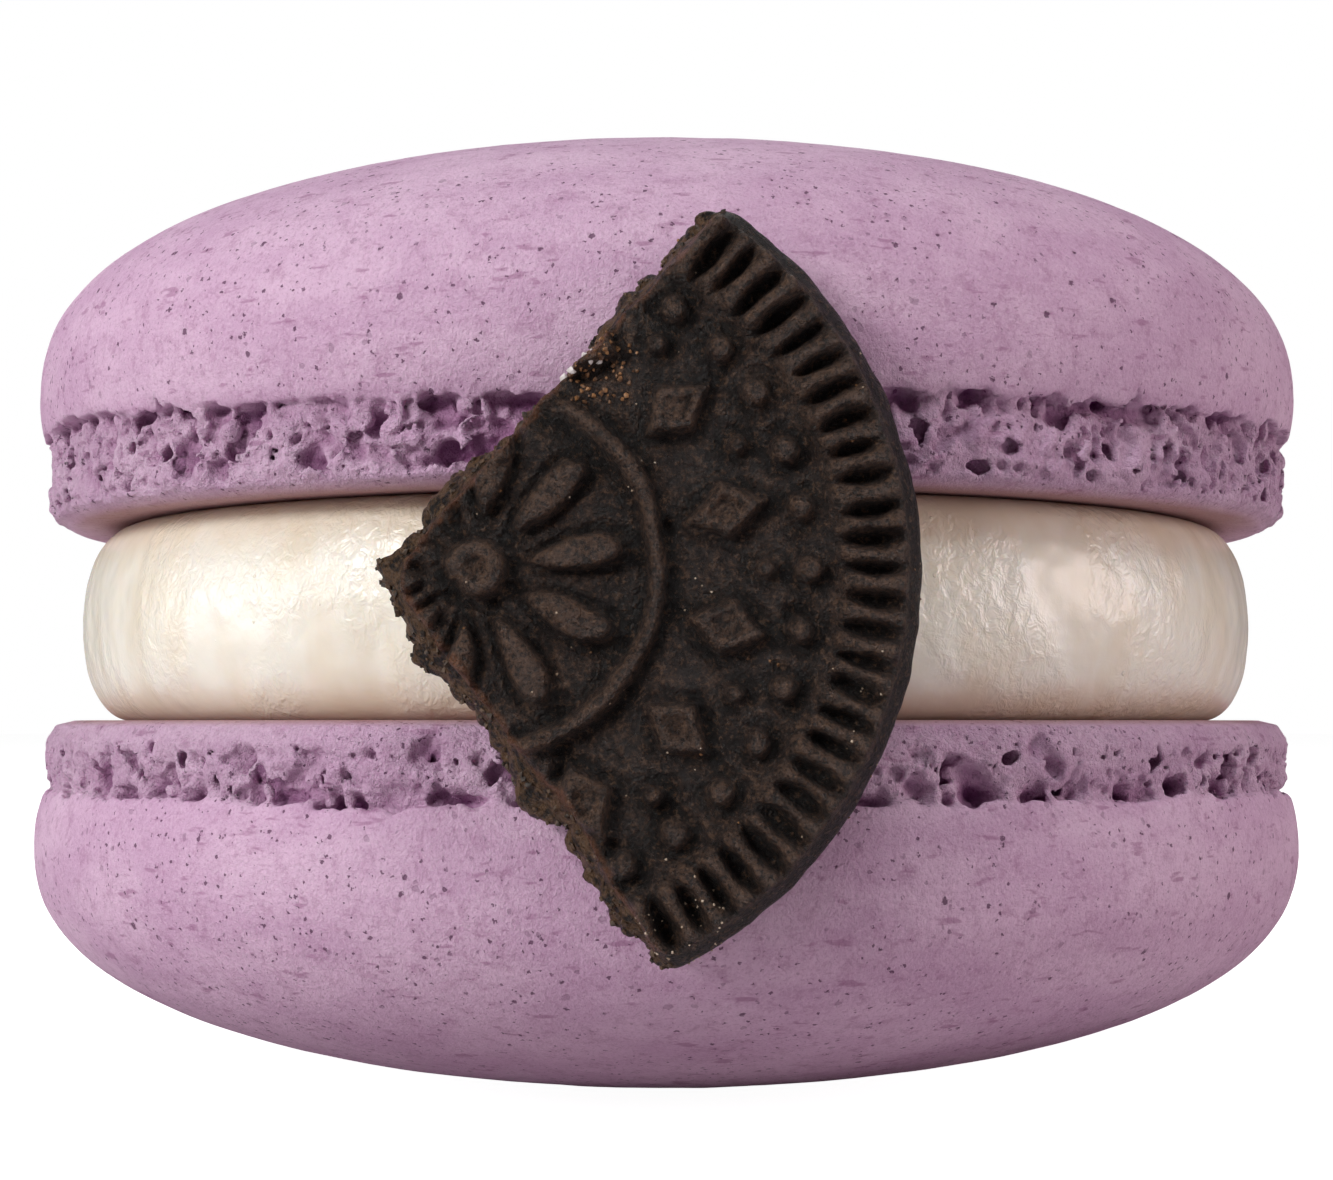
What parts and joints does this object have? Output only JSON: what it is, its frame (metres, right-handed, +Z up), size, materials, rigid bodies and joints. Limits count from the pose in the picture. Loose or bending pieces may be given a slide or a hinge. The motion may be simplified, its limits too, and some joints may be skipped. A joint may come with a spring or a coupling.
{
  "type": "filled macaron",
  "caption": "Thick round macaron: domed almond shells with craggy feet, a barrel of ivory cream between them and a broken piece of embossed cocoa wafer against the front.",
  "frame": {"origin": "middle of the small flat spot under the lower dome, which is the lowest point, on the macaron's axis", "axes": "+Z up along the macaron's axis, -Y towards the front where the wafer is, +X to the right as seen from the front"},
  "size_m": [0.052, 0.0551, 0.0375],
  "materials": {
    "shell": "matte lavender almond meringue with fine dark specks and an open, spongy foot",
    "cream": "satin ivory cream",
    "cocoa": "matte, fine-grained dark cocoa biscuit, browner where it broke"
  },
  "bodies": {
    "root": {"shell_lower": "shell", "filling": "cream", "shell_upper": "shell", "wafer": "cocoa"}
  },
  "joints": []
}
